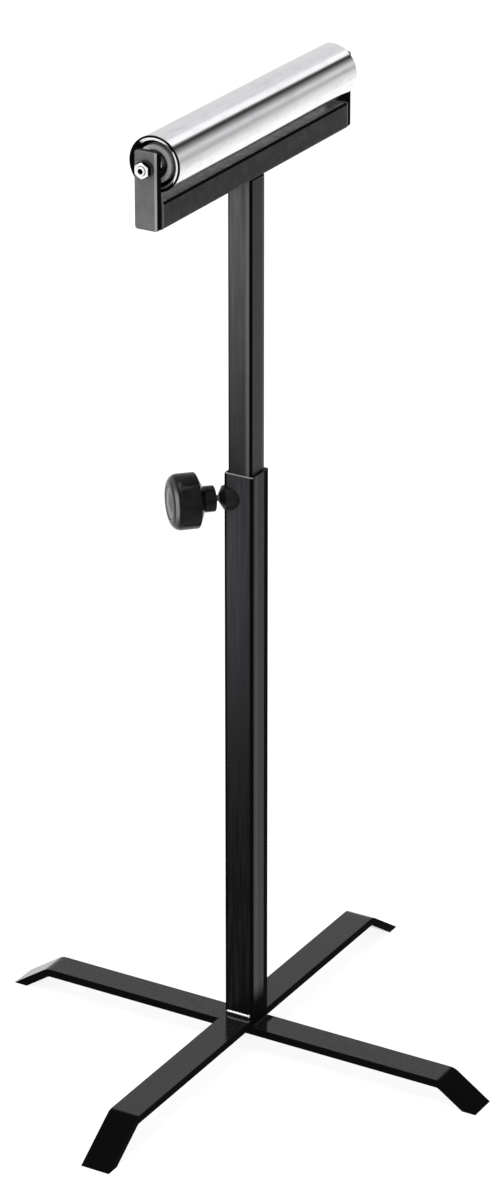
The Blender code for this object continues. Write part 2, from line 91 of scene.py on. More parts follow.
# How finely the round pieces are turned, and the angle past which an edge stays crisp
ROLLER_STEPS = 192
TURNED_STEPS = 96
THREAD_STEPS = 32
CRISP_ANGLE = math.radians(32)
SAME_PLACE = 0.000002

# How much light the finishes give back, and the colours that several of them share
ENAMEL_SHINE = 0.12
BAR_SHINE = 0.36
DEAD_BLACK = (0.0016, 0.0016, 0.0018)
BRIGHT_ZINC = (0.93, 0.93, 0.92)

# How deep a flat side's own tone reaches, and the stretch that draws noise out along Z
SIDE_SKIN = 0.0003
DRAWN_OUT = (1.0, 1.0, 0.04)

# The slant of the painted shade on the roller's ends
SHADE_SLANT = 0.4

# Where the ends that slope down towards the camera begin, one on each leg bar
UPPER_BAR_SLOPE = ("X", -0.2235)
LOWER_BAR_SLOPE = ("Y", -0.2155)
SLOPE_SOFTNESS = 0.002

# Roller lips
LIP_ROUND = 0.0012
LIP_STEPS = 6

# Clamp knob
KNOB_NECK_RADIUS = 0.0123
KNOB_NECK_EDGE = 0.0007
KNOB_NECK_LENGTH = 0.0112
KNOB_BACK_CONE = 0.0054
KNOB_BAND_LENGTH = 0.0165
KNOB_SHOULDER = 0.0090
KNOB_FACE_GROOVE_RADIUS = 0.0160
KNOB_FACE_GROOVE = 0.0010
KNOB_EDGE_ROUND = 0.0015
KNOB_DOME_CENTRE = 0.040
KNOB_DOME_SWEEP = 0.30
KNOB_BORE_GAP = 0.0003

# Threads and nuts
THREAD_PITCH = 0.0010
THREAD_DEPTH = 0.0005
CREST_START = 0.35
CREST_END = 0.50
ROOT_START = 0.85
NUT_CHAMFER_ANGLE = math.radians(30)
NUT_FACE_SHARE = 0.96
NUT_BORE_BEVEL = 0.0005

# Welds
BEAD_RADIUS = 0.0021
BEAD_SIDES = 12
RIPPLE_PITCH = 0.0013
RIPPLE_DEPTH = 0.16
WELD_INSET = 0.0015
FOOT_BEAD_RADIUS = 0.0016
FOOT_RUN_RADIUS = 0.0011
BOSS_BEAD_RADIUS = 0.0012
BOSS_BEAD_POINTS = 72
BOSS_BEAD_SINK = 0.0007
MAST_BEAD_RADIUS = 0.0009
BEAM_BEAD_RADIUS = 0.0014


class Value:
    """The output of a shader node. Arithmetic on it adds Math nodes."""

    def __init__(self, finish, socket):
        self.finish = finish
        self.socket = socket

    def math(self, operation, *values):
        inputs = dict(enumerate(values))
        return self.finish.node("ShaderNodeMath", {"operation": operation}, inputs)

    def __add__(self, other):
        return self.math("ADD", self, other)

    def __radd__(self, other):
        return self.math("ADD", other, self)

    def __sub__(self, other):
        return self.math("SUBTRACT", self, other)

    def __rsub__(self, other):
        return self.math("SUBTRACT", other, self)

    def __mul__(self, other):
        return self.math("MULTIPLY", self, other)

    def __rmul__(self, other):
        return self.math("MULTIPLY", other, self)

    def __pow__(self, other):
        return self.math("POWER", self, other)

    def size(self):
        return self.math("ABSOLUTE", self)

    def between(self, low, high):
        """0 below low, 1 above high, smooth in between."""
        settings = {"interpolation_type": "SMOOTHSTEP"}
        inputs = {"Value": self, "From Min": low, "From Max": high}
        return self.finish.node("ShaderNodeMapRange", settings, inputs)


class Finish:
    """A material that is put together from nodes."""

    def __init__(self, name, tree=None):
        self.material = None
        self.shader = None
        self.tone = None
        self.tree = tree
        if tree is None:
            self.material = bpy.data.materials.new(name)
            self.material.use_nodes = True
            self.tree = self.material.node_tree
            self.shader = self.tree.nodes["Principled BSDF"]

    def node(self, kind, settings=None, inputs=None, output=0):
        node = self.tree.nodes.new(kind)
        for key, value in (settings or {}).items():
            if key == "stops":
                self.set_stops(node.color_ramp, value)
            else:
                setattr(node, key, value)
        for key, value in (inputs or {}).items():
            if isinstance(value, Value):
                self.tree.links.new(value.socket, node.inputs[key])
            else:
                node.inputs[key].default_value = value
        return Value(self, node.outputs[output])

    def set_stops(self, ramp, stops):
        while len(ramp.elements) < len(stops):
            ramp.elements.new(0.5)
        for element, (place, colour) in zip(ramp.elements, stops):
            element.position = place
            element.color = (*colour, 1.0)

    def here(self, stretch=(1.0, 1.0, 1.0)):
        """Position on the piece, in metres, squeezed or stretched along each axis."""
        spot = self.node("ShaderNodeTexCoord", output="Object")
        return self.node("ShaderNodeMapping", inputs={"Vector": spot, "Scale": stretch})

    def position(self, axis):
        """How far along one axis, X, Y or Z."""
        spot = self.node("ShaderNodeTexCoord", output="Object")
        return self.node("ShaderNodeSeparateXYZ", inputs={"Vector": spot}, output=axis)

    def noise(self, scale, detail=2.0, stretch=(1.0, 1.0, 1.0), roughness=0.5):
        inputs = {"Vector": self.here(stretch), "Scale": scale, "Detail": detail, "Roughness": roughness}
        return self.node("ShaderNodeTexNoise", inputs=inputs)

    def blend(self, factor, first, second):
        settings = {"data_type": "RGBA", "clamp_factor": True}
        inputs = {0: factor, 6: as_colour(first), 7: as_colour(second)}
        return self.node("ShaderNodeMix", settings, inputs, output=2)

    def bump(self, height, distance, strength, over=None):
        inputs = {"Height": height, "Distance": distance, "Strength": strength}
        if over is not None:
            inputs["Normal"] = over
        return self.node("ShaderNodeBump", inputs=inputs)

    def feed(self, **inputs):
        for key, value in inputs.items():
            socket = self.shader.inputs[key.replace("_", " ")]
            if isinstance(value, Value):
                self.tree.links.new(value.socket, socket)
            elif isinstance(value, tuple):
                socket.default_value = as_colour(value)
            else:
                socket.default_value = value
        return self.material

    def dull_where(self, mask):
        """Lay a dead black over part of the piece: mostly painted shade and painted dark reflections."""
        dull = self.node(
            "ShaderNodeBsdfPrincipled",
            inputs={"Base Color": as_colour(DEAD_BLACK), "Roughness": 0.9, "Specular IOR Level": 0.04},
        )
        shine = Value(self, self.shader.outputs["BSDF"])
        mixed = self.node("ShaderNodeMixShader", inputs={0: mask, 1: shine, 2: dull})
        self.tree.links.new(mixed.socket, self.tree.nodes["Material Output"].inputs["Surface"])


def as_colour(value):
    return (*value, 1.0) if isinstance(value, tuple) else value


def facing_minus(place, half):
    """1 on a tube's flat side at the minus end of an axis, 0 elsewhere."""
    return place.between(SIDE_SKIN - half, -half)


def along_corners(x, y, half, start, full):
    """Rises towards the upright corners of a square tube."""
    return (x.size() + y.size()).between(2 * half - start, 2 * half - full)


def drawn_lines(paint):
    """Faint lines along Z, as on a drawn tube."""
    return paint.noise(420.0, 2.0, DRAWN_OUT).between(0.35, 0.68)


def in_shade(y, z):
    """Painted shade: the side of the roller's ends that is laid black, from offsets to its axis."""
    return (y - SHADE_SLANT * z).between(0.004, 0.008)


def enamel(name, colour, dust, gloss):
    """Sprayed and baked black enamel: fine orange peel, a little dust, softer where it ran thin."""
    paint = Finish(name)
    peel = paint.noise(520.0, 3.0)
    grain = paint.noise(1500.0, 2.0)
    cloud = paint.noise(38.0, 4.0).between(0.35, 0.70)
    speck = grain.between(0.50, 0.74)
    paint.tone = paint.blend(speck * 0.6 + cloud * 0.35, colour, dust)
    rough = gloss + 0.06 * cloud + 0.05 * speck
    normal = paint.bump(grain, 0.00004, 0.4, over=paint.bump(peel, 0.00015, 0.4))
    paint.feed(Base_Color=paint.tone, Roughness=rough, Normal=normal, Specular_IOR_Level=ENAMEL_SHINE)
    return paint


def column_enamel():
    """The outer tube: a painted grey sheen on its left side near the top, painted shade as dead black along
    its corners, and a painted highlight at the rim.
    """
    paint = enamel("column_enamel", (0.002, 0.002, 0.0024), (0.007, 0.007, 0.008), 0.20)
    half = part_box("outer_column")[1].x
    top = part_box("outer_column")[1].z
    x, y, z = (paint.position(axis) for axis in "XYZ")
    left = facing_minus(x, half)
    front = facing_minus(y, half)
    drawn = drawn_lines(paint)
    # Painted sheen: the side that faces left turns grey towards the top.
    grey = left * z.between(0.20, 0.62) * (0.45 + 0.4 * y.between(-half, half) + 0.4 * drawn)
    left_sheen = paint.blend(grey, paint.tone, (0.040, 0.041, 0.045))
    line = front * x.between(-0.0100, -0.0085) * x.between(-0.0040, -0.0060)
    lined = paint.blend(line * 0.5, left_sheen, (0.045, 0.045, 0.048))
    # Painted highlight along the left edge of the rim's top.
    rim = z.between(top - 0.0005, top - 0.0003) * x.between(0.0026 - half, 0.0016 - half)
    paint.feed(Base_Color=paint.blend(rim, lined, (0.26, 0.26, 0.265)))
    # Painted shade: dead black along the corners, in a streak down the front, and towards the foot.
    corner = along_corners(x, y, half, 0.0034, 0.0022)
    streak = x.between(0.0060, 0.0075) * x.between(0.0128, 0.0120) * front
    low = left * z.between(0.48, 0.12) * (0.35 + 0.5 * drawn) + front * z.between(0.070, 0.048)
    paint.dull_where((corner + streak + low) * (1.0 - rim))
    return paint.material


def mast_enamel():
    """The inner tube: a painted grey sheen on the side that faces left, most of all near the top, and
    painted shade along its corners.
    """
    paint = enamel("mast_enamel", (0.012, 0.012, 0.013), (0.030, 0.030, 0.032), 0.30)
    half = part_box("inner_column")[1].x
    low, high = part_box("outer_column")[1].z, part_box("inner_column")[1].z
    x, y, z = (paint.position(axis) for axis in "XYZ")
    left = facing_minus(x, half)
    front = facing_minus(y, half)
    drawn = drawn_lines(paint)
    # Painted sheen: the side that faces left turns grey towards the top.
    grey = left * z.between(low - 0.05, high + 0.04) * (0.5 + 0.3 * y.between(-half, half) + 0.35 * drawn)
    greyed = paint.blend(grey, paint.tone, (0.104, 0.104, 0.108))
    line = front * x.between(0.0068, 0.0080) * x.between(0.0116, 0.0108)
    strip = left * y.between(-0.0058, -0.0078) * y.between(-0.0110, -0.0102)
    paint.feed(Base_Color=paint.blend(strip * 0.45 + line * 0.30, greyed, (0.16, 0.16, 0.165)))
    # Painted shade: dead black along the corners.
    corner = along_corners(x, y, half, 0.0028, 0.0018)
    paint.dull_where(corner * (1.0 - line))
    return paint.material


def beam_enamel():
    """The head's tube: lighter on top as painted light, with blotches, painted highlights at its ends, and
    painted shade as a dark line along its upper edges.
    """
    paint = enamel("beam_enamel", (0.0025, 0.0025, 0.003), (0.010, 0.010, 0.011), 0.26)
    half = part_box("head_beam")[1].y
    end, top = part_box("head_beam")[1].x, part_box("head_beam")[1].z
    x, y, z = (paint.position(axis) for axis in "XYZ")
    # Painted light: the top face is laid lighter than the sides.
    upper = z.between(top - 0.0004, top - 0.0001)
    blotch = paint.noise(120.0, 4.0).between(0.42, 0.66)
    smeared = paint.blend(blotch, paint.tone, (0.015, 0.016, 0.019))
    lit_top = paint.blend(upper, smeared, paint.blend(blotch, (0.13, 0.13, 0.135), (0.21, 0.21, 0.215)))
    # Painted highlight at both ends of the beam.
    bare = x.size().between(end - 0.0022, end - 0.0016)
    paint.feed(Base_Color=paint.blend(bare, lit_top, (0.11, 0.11, 0.112)))
    # Painted shade: a dark line along the upper edges.
    corner = z.between(top - 0.0030, top - 0.0022) * y.size().between(half - 0.0016, half - 0.0008)
    paint.dull_where(corner * (1.0 - bare))
    return paint.material


def plate_enamel():
    """The end plates: grey on their outer faces, partly painted light, with a painted highlight near one
    edge; painted shade keeps their other faces near black and their narrow sides dead black.
    """
    paint = enamel("plate_enamel", (0.100, 0.100, 0.103), (0.200, 0.200, 0.205), 0.42)
    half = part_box("end_plate_near")[1].y
    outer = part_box("end_plate_far")[1].x
    y = paint.position("Y")
    # Outer faces grey, partly painted light; the other faces near black as painted shade.
    outboard = paint.position("X").size().between(outer - 0.0009, outer - 0.0002)
    # Painted highlight along the edge towards minus Y.
    edge = y.between(0.0034 - half, 0.0026 - half) * y.between(0.0004 - half, 0.0009 - half)
    lit_outer_face = paint.blend(edge, paint.tone, (0.30, 0.30, 0.305))
    paint.feed(Base_Color=paint.blend(outboard, (0.004, 0.004, 0.0045), lit_outer_face))
    # Painted shade: dead black on the narrow sides.
    paint.dull_where(y.size().between(half - 0.0006, half - 0.0003))
    return paint.material


def bar_enamel(name, node, across, slope):
    """A leg bar: glossy and speckled on top, with painted shade as dead black on its sides and on its end
    near the camera.
    """
    paint = enamel(name, (0.0012, 0.0012, 0.0016), (0.004, 0.004, 0.0045), 0.06)
    speckle = paint.noise(560.0, 4.0, roughness=0.7).between(0.42, 0.66)
    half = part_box(node)[1]["XY".index(across)]
    side = paint.position(across).size().between(half - 0.0004, half - 0.0001)
    axis, place = slope
    away = paint.position(axis).between(place + SLOPE_SOFTNESS, place - SLOPE_SOFTNESS)
    tone = paint.blend(speckle, paint.tone, (0.022, 0.022, 0.024))
    paint.feed(Base_Color=tone, Specular_IOR_Level=BAR_SHINE)
    # Painted shade on the sides and on the sloping end near the camera.
    paint.dull_where(side + away)
    return paint.material


def roller_chrome():
    """Hard chrome over a drawn tube: faint lengthwise lines, haze, painted dark reflections on the lips and
    painted shade on the ends.
    """
    plate = Finish("roller_chrome")
    draw = plate.noise(300.0, 3.0, (0.02, 1.0, 1.0))
    haze = plate.noise(26.0, 3.0, (0.35, 1.0, 1.0)).between(0.40, 0.75)
    mottle = plate.noise(160.0, 4.0, (0.4, 1.0, 1.0)).between(0.45, 0.75)
    tone = plate.blend(draw.between(0.35, 0.75) * 0.5 + haze * 0.25, (0.91, 0.91, 0.92), (0.80, 0.80, 0.82))
    smudged = plate.blend(mottle * 0.35, tone, (0.66, 0.66, 0.69))
    rough = 0.045 + 0.04 * haze + 0.03 * draw
    normal = plate.bump(draw, 0.00005, 0.3)
    plate.feed(Base_Color=smudged, Metallic=1.0, Roughness=rough, Normal=normal)
    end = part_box("roller_tube")[1].x
    reach, y, z = from_axis(plate)
    # Painted dark reflection on the rolled lips, and painted shade on the ends' shaded side.
    lip = reach.between(0.0233, 0.0237) * reach.between(0.0256, 0.0252)
    shaded = in_shade(y, z) * reach.between(0.0240, 0.0236)
    plate.dull_where(plate.position("X").size().between(end - 0.0014, end - 0.0008) * (lip + shaded))
    return plate.material


def from_axis(finish):
    """Distance from the roller's axis, and the offsets along Y and Z from it."""
    centre = axis_of("roller_spin")[0]
    y = finish.position("Y")
    z = finish.position("Z") - centre.z
    return (y ** 2.0 + z ** 2.0) ** 0.5, y, z


def zinc_plate(name, bright, dull):
    """Zinc with a faint spangle."""
    zinc = Finish(name)
    settings = {"feature": "F1"}
    inputs = {"Vector": zinc.here(), "Scale": 900.0}
    spangle = zinc.node("ShaderNodeTexVoronoi", settings, inputs)
    film = zinc.noise(260.0, 3.0)
    tone = zinc.blend(film.between(0.35, 0.70), bright, dull)
    rough = 0.26 + 0.16 * film
    normal = zinc.bump(spangle, 0.00003, 0.4)
    return zinc.feed(Base_Color=tone, Metallic=1.0, Roughness=rough, Normal=normal)


def nut_zinc():
    """Zinc that is bright on the nuts' outer faces and dead black on their flanks and further in, with
    painted shade at the axle end's centre.
    """
    zinc = Finish("nut_zinc")
    film = zinc.noise(260.0, 3.0)
    x = zinc.position("X")
    reach, _, _ = from_axis(zinc)
    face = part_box("axle_nut_far")[1].x
    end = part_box("axle")[1].x
    zinc.feed(Base_Color=zinc.blend(film.between(0.35, 0.70), BRIGHT_ZINC, (0.82, 0.82, 0.81)))
    zinc.feed(Metallic=1.0, Roughness=0.24 + 0.14 * film, Normal=zinc.bump(film, 0.00002, 0.3))
    # Painted shade: the axle end is laid dead black at its centre, as a centre hole in shade.
    hole = reach.between(0.0028, 0.0024)
    flank = x.size().between(face - 0.0005, face - 0.0008) * reach.between(0.0035, 0.0045)
    inside = x.size().between(end - 0.003, end - 0.005)
    zinc.dull_where(hole + flank + inside)
    return zinc.material


def lathe_steel(name, bright, dull, gloss, axis_height):
    """Steel turned about the roller's axis: fine tool rings round that axis."""
    steel = Finish(name)
    centred = steel.node(
        "ShaderNodeMapping",
        inputs={"Vector": steel.here(), "Location": (0.0, 0.0, -axis_height), "Scale": (0.0, 1.0, 1.0)},
    )
    settings = {"wave_type": "RINGS", "rings_direction": "X"}
    inputs = {"Vector": centred, "Scale": 900.0, "Distortion": 1.2, "Detail": 2.0}
    rings = steel.node("ShaderNodeTexWave", settings, inputs)
    film = steel.noise(420.0, 3.0)
    tone = steel.blend(rings * 0.6 + film * 0.4, bright, dull)
    rough = gloss + 0.12 * film
    normal = steel.bump(rings, 0.00002, 0.35)
    return steel.feed(Base_Color=tone, Metallic=1.0, Roughness=rough, Normal=normal)


def housing_steel():
    """Pressed-in housings: bright at the rim, grey hub, with painted shade as black in the groove and on
    the shaded side.
    """
    steel = Finish("housing_steel")
    film = steel.noise(420.0, 3.0)
    reach, y, z = from_axis(steel)
    rim = reach.between(0.0208, 0.0212)
    hub = steel.blend(film, (0.52, 0.52, 0.525), (0.36, 0.36, 0.365))
    steel.feed(Base_Color=steel.blend(rim, hub, (0.90, 0.90, 0.90)), Metallic=0.2 + 0.7 * rim)
    steel.feed(Roughness=0.30 + 0.15 * film, Normal=steel.bump(film, 0.00003, 0.3))
    # Painted shade: dead black in the groove and on the shaded side.
    groove = reach.between(0.0170, 0.0174) * reach.between(0.0214, 0.0209)
    steel.dull_where(groove + in_shade(y, z))
    return steel.material


def moulded_plastic():
    """Glossy black plastic, with the fine flow marks of a mould and painted highlights on the knob's
    shoulder and face.
    """
    plastic = Finish("black_plastic")
    grain = plastic.noise(1500.0, 2.0)
    blush = plastic.noise(90.0, 3.0).between(0.40, 0.75)
    tone = plastic.blend(blush, (0.002, 0.002, 0.003), (0.006, 0.006, 0.007))
    rough = 0.15 + 0.05 * grain + 0.03 * blush
    normal = plastic.bump(grain, 0.00003, 0.4)
    centre, direction = axis_of("clamp_turn")
    side = direction.cross(Vector((0.0, 0.0, 1.0)))
    x, y, z = (plastic.position(axis) for axis in "XYZ")
    along = x * direction.x + y * direction.y
    across = x * side.x + y * side.y
    rise = z - centre.z
    reach = (across ** 2.0 + rise ** 2.0) ** 0.5
    face = measure("clamp_knob", centre, direction)[1]
    # Painted highlights: a lighter arc on the shoulder next to the face, and a lighter centre on the face.
    near_face = along.between(face - 0.0054, face - 0.0040)
    level = rise.between(-0.016, 0.0) * rise.between(0.022, 0.012)
    shoulder = reach.between(0.0208, 0.0224) * (0.2 + 0.8 * level)
    sheen = near_face * (shoulder * (0.6 + 0.5 * grain) + 0.35 * reach.between(0.0150, 0.0140))
    shown = plastic.blend(sheen, tone, (0.22, 0.22, 0.225))
    return plastic.feed(Base_Color=shown, Roughness=rough, Normal=normal, Specular_IOR_Level=0.12)


def dress(material, *nodes):
    """Give CAD nodes a finish."""
    for name in nodes:
        slots = frame["nodes"][name].material_slots
        for slot in slots:
            slot.material = material
        if not slots:
            frame["nodes"][name].data.materials.append(material)


def axis_of(joint_name):
    """(point, unit direction) of a joint's axis."""
    for joint in frame["joints"]:
        if joint["name"] == joint_name:
            return Vector(joint["pos_m"]), Vector(joint["axis"]).normalized()
    raise ValueError(joint_name)


def measure(node, point, direction):
    """How far a node reaches along an axis, and its least and greatest distance from it."""
    spans = []
    for vertex in frame["nodes"][node].data.vertices:
        offset = vertex.co - point
        along = offset.dot(direction)
        spans.append((along, (offset - along * direction).length))
    alongs = [along for along, _ in spans]
    reaches = [reach for _, reach in spans]
    return min(alongs), max(alongs), min(reaches), max(reaches)


def axis_frame(point, direction):
    """A matrix that carries the Z axis onto an axis in space."""
    return Matrix.Translation(point) @ direction.to_track_quat("Z", "X").to_matrix().to_4x4()


def finish_piece(shape, name, material, body):
    """Turn a bmesh into a piece that rides on a body."""
    bmesh.ops.remove_doubles(shape, verts=shape.verts[:], dist=SAME_PLACE)
    bmesh.ops.recalc_face_normals(shape, faces=shape.faces[:])
    mesh = bpy.data.meshes.new(name)
    shape.to_mesh(mesh)
    shape.free()
    mesh.materials.append(material)
    mesh.shade_smooth()
    mesh.set_sharp_from_angle(angle=CRISP_ANGLE)
    piece = bpy.data.objects.new(name, mesh)
    bpy.context.scene.collection.objects.link(piece)
    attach(piece, body)
    return piece


def arc(centre, radius, start, end, steps):
    turns = [start + (end - start) * i / steps for i in range(steps + 1)]
    return [(centre[0] + radius * math.cos(t), centre[1] + radius * math.sin(t)) for t in turns]


def spin_round(shape, geometry, steps):
    """Sweep corners and edges once round Z."""
    bmesh.ops.spin(
        shape,
        geom=geometry,
        cent=(0.0, 0.0, 0.0),
        axis=(0.0, 0.0, 1.0),
        angle=math.tau,
        steps=steps,
        use_merge=True,
    )


def spun(profile, steps, closed=False):
    """A shape turned about Z from a profile of (radius, height) points."""
    shape = bmesh.new()
    verts = [shape.verts.new((radius, 0.0, height)) for radius, height in profile]
    edges = [shape.edges.new(pair) for pair in zip(verts, verts[1:])]
    if closed:
        edges.append(shape.edges.new((verts[-1], verts[0])))
    spin_round(shape, verts + edges, steps)
    return shape


def put(shape, place):
    bmesh.ops.transform(shape, matrix=place, verts=shape.verts[:])
    return shape


def roller_shell(material):
    """The chromed tube, turned finely, with rolled lips at both ends."""
    point, direction = axis_of("roller_spin")
    start, end, bore, radius = measure("roller_tube", point, direction)
    edge = LIP_ROUND
    right = math.pi / 2
    profile = [
        *arc((radius - edge, end - edge), edge, 0.0, right, LIP_STEPS),
        (bore, end),
        (bore, start),
        *arc((radius - edge, start + edge), edge, -right, 0.0, LIP_STEPS),
    ]
    shape = put(spun(profile, ROLLER_STEPS, closed=True), axis_frame(point, direction))
    piece = finish_piece(shape, "roller_shell", material, "roller")
    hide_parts("roller_tube")


def knob_profile(start, end, radius, bore, bore_end):
    neck_end = start + KNOB_NECK_LENGTH
    band_start = neck_end + KNOB_BACK_CONE
    band_end = band_start + KNOB_BAND_LENGTH
    face = band_end + KNOB_SHOULDER
    groove = KNOB_FACE_GROOVE
    groove_middle = (KNOB_FACE_GROOVE_RADIUS - groove / 2, face)
    shoulder_centre = (radius - KNOB_SHOULDER, band_end)
    dome = end - face + KNOB_DOME_CENTRE
    edge = KNOB_EDGE_ROUND
    neck_edge = KNOB_NECK_EDGE
    right = math.pi / 2
    return [
        (0.0, end),
        *arc((0.0, face - KNOB_DOME_CENTRE), dome, right, right - KNOB_DOME_SWEEP, 4)[1:],
        *arc(groove_middle, groove / 2, math.pi, math.tau, 6),
        *arc(shoulder_centre, KNOB_SHOULDER, right, 0.0, 14),
        (radius, (band_start + band_end) / 2),
        *arc((radius - edge, band_start + edge), edge, 0.0, -0.7 * right, 5),
        *arc((KNOB_NECK_RADIUS + edge, neck_end - edge), edge, right, math.pi, 5),
        *arc((KNOB_NECK_RADIUS - neck_edge, start + neck_edge), neck_edge, 0.0, -right, 4),
        (bore, start),
        (bore, bore_end),
        (0.0, bore_end),
    ]


def knob_grip(material):
    """The moulded knob: domed face with a ring groove, round shoulder, long neck."""
    point, direction = axis_of("clamp_turn")
    start, end, _, radius = measure("clamp_knob", point, direction)
    _, stud_end, _, stud_radius = measure("clamp_stud", point, direction)
    bore = stud_radius + KNOB_BORE_GAP
    bore_end = stud_end + KNOB_BORE_GAP
    shape = spun(knob_profile(start, end, radius, bore, bore_end), TURNED_STEPS * 2)
    put(shape, axis_frame(point, direction))
    piece = finish_piece(shape, "knob_grip", material, "clamp_handle")
    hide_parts("clamp_knob")


def threaded_stud(material):
    """The clamp stud with its thread cut as fine rings."""
    point, direction = axis_of("clamp_turn")
    start, end, _, radius = measure("clamp_stud", point, direction)
    root = radius - THREAD_DEPTH
    profile = [(0.0, end), (root, end)]
    height = end - THREAD_PITCH / 4
    while height > start + 2 * THREAD_PITCH:
        for reach, share in ((radius, CREST_START), (radius, CREST_END), (root, ROOT_START)):
            profile.append((reach, height - THREAD_PITCH * share))
        height -= THREAD_PITCH
    profile += [(root, start + THREAD_PITCH), (root - THREAD_DEPTH, start), (0.0, start)]
    shape = put(spun(profile, THREAD_STEPS), axis_frame(point, direction))
    piece = finish_piece(shape, "clamp_stud_thread", material, "clamp_screw")
    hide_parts("clamp_stud")


def turned_finely(node, joint, material, body):
    """A turned piece made again from its own outline, with many more steps round its axis."""
    point, direction = axis_of(joint)
    upright = axis_frame(point, direction)
    mesh = frame["nodes"][node].data
    local = [upright.inverted() @ vertex.co for vertex in mesh.vertices]
    reaches = [math.hypot(place.x, place.y) for place in local]
    widest = local[reaches.index(max(reaches))]
    heading = Vector((widest.x, widest.y, 0.0)).normalized()
    shape = bmesh.new()
    corners = {}
    for edge in mesh.edges:
        ends = []
        for i in edge.vertices:
            if (local[i] - heading * reaches[i]).to_2d().length < SAME_PLACE:
                key = (round(reaches[i], 6), round(local[i].z, 6))
                if key not in corners:
                    corners[key] = shape.verts.new((reaches[i], 0.0, local[i].z))
                ends.append(corners[key])
        if len(ends) == 2 and ends[0] != ends[1] and shape.edges.get(ends) is None:
            shape.edges.new(ends)
    spin_round(shape, shape.verts[:] + shape.edges[:], TURNED_STEPS)
    piece = finish_piece(put(shape, upright), f"{node}_fine", material, body)
    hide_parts(node)


def stacked(rings):
    """A closed shape from rings round Z. Each ring gives (radius, height) for an angle."""
    shape = bmesh.new()
    loops = []
    for ring in rings:
        verts = bmesh.ops.create_circle(shape, segments=TURNED_STEPS, radius=1.0)["verts"]
        for vertex in verts:
            radius, height = ring(math.atan2(vertex.co.y, vertex.co.x))
            vertex.co = (vertex.co.x * radius, vertex.co.y * radius, height)
        loops.append(list({edge for vertex in verts for edge in vertex.link_edges}))
    for first, second in zip(loops, loops[1:] + loops[:1]):
        bmesh.ops.bridge_loops(shape, edges=first + second)
    return shape


def hex_nut(node, material):
    """A hexagon nut whose corners are turned off at both faces, with a bevelled bore."""
    point, direction = axis_of("roller_spin")
    start, end, bore, widest = measure(node, point, direction)
    flat = widest * math.cos(math.pi / 6)
    face = flat * NUT_FACE_SHARE
    bevel = NUT_BORE_BEVEL

    def hexagon(turn):
        return flat / math.cos((turn % (math.pi / 3)) - math.pi / 6)

    def fall(turn):
        return (hexagon(turn) - face) * math.tan(NUT_CHAMFER_ANGLE)

    rings = [
        lambda turn: (bore + bevel, start),
        lambda turn: (face, start),
        lambda turn: (hexagon(turn), start + fall(turn)),
        lambda turn: (hexagon(turn), end - fall(turn)),
        lambda turn: (face, end),
        lambda turn: (bore + bevel, end),
        lambda turn: (bore, end - bevel),
        lambda turn: (bore, start + bevel),
    ]
    shape = put(stacked(rings), axis_frame(point, direction))
    piece = finish_piece(shape, f"{node}_fine", material, "head")
    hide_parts(node)


def bead_ring(shape, centre, tangent, radius):
    """One ring of a weld bead, across its path. Gives the ring's edges."""
    place = axis_frame(centre, tangent)
    ring = bmesh.ops.create_circle(shape, segments=BEAD_SIDES, radius=radius, matrix=place)["verts"]
    return list({edge for vertex in ring for edge in vertex.link_edges})


def weld_bead(name, path, material, body, closed=False, radius=BEAD_RADIUS):
    """A rippled weld bead along a path, half sunk in the corner that it fills."""
    shape = bmesh.new()
    points = evenly_spaced(path, RIPPLE_PITCH / 3, closed)
    rings = []
    count = len(points)
    for i, point in enumerate(points):
        before = points[i - 1] if closed or i else point
        after = points[(i + 1) % count] if closed or i + 1 < count else point
        swell = 1.0 - RIPPLE_DEPTH * (i % 3) / 2
        taper = 1.0
        if not closed:
            taper = min(1.0, 0.45 + 0.2 * min(i, count - 1 - i))
        rings.append(bead_ring(shape, point, (after - before).normalized(), radius * swell * taper))
    pairs = list(zip(rings, rings[1:]))
    if closed:
        pairs.append((rings[-1], rings[0]))
    for first, second in pairs:
        bmesh.ops.bridge_loops(shape, edges=first + second)
    if not closed:
        bmesh.ops.holes_fill(shape, edges=shape.edges[:], sides=BEAD_SIDES)
    return finish_piece(shape, name, material, body)


def evenly_spaced(path, spacing, closed):
    """Points along a path at about equal distances."""
    corners = [Vector(point) for point in path]
    if closed:
        corners.append(corners[0])
    spaced = []
    for first, second in zip(corners, corners[1:]):
        count = max(1, round((second - first).length / spacing))
        spaced += [first.lerp(second, i / count) for i in range(count)]
    if not closed:
        spaced.append(corners[-1])
    return spaced


def base_welds(material, bare):
    """Fillets at the column's foot and where the two bars cross. The near one was left bare."""
    low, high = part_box("outer_column")
    foot = low.z
    half = high.y
    path = [(half, WELD_INSET - half, foot), (half, half - WELD_INSET, foot)]
    weld_bead("column_foot_weld_far", path, material, "base")
    run_end = 0.0035 - half
    path = [(-half, half - 0.002, foot + 0.0025), (-half, run_end, foot + 0.0025)]
    weld_bead("column_foot_weld_near", path, bare, "base", radius=FOOT_BEAD_RADIUS)
    path = [(-half, run_end, foot + 0.0045), (-half, run_end, foot + 0.0006)]
    weld_bead("column_foot_weld_run", path, bare, "base", radius=FOOT_RUN_RADIUS)
    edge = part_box("upper_leg_bar")[1].y
    lower_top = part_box("lower_leg_bar")[1].z
    for side, word in ((-1, "right"), (1, "left")):
        y = side * edge
        path = [(WELD_INSET - half, y, lower_top), (half - WELD_INSET, y, lower_top)]
        weld_bead(f"bar_crossing_weld_{word}", path, material, "base")


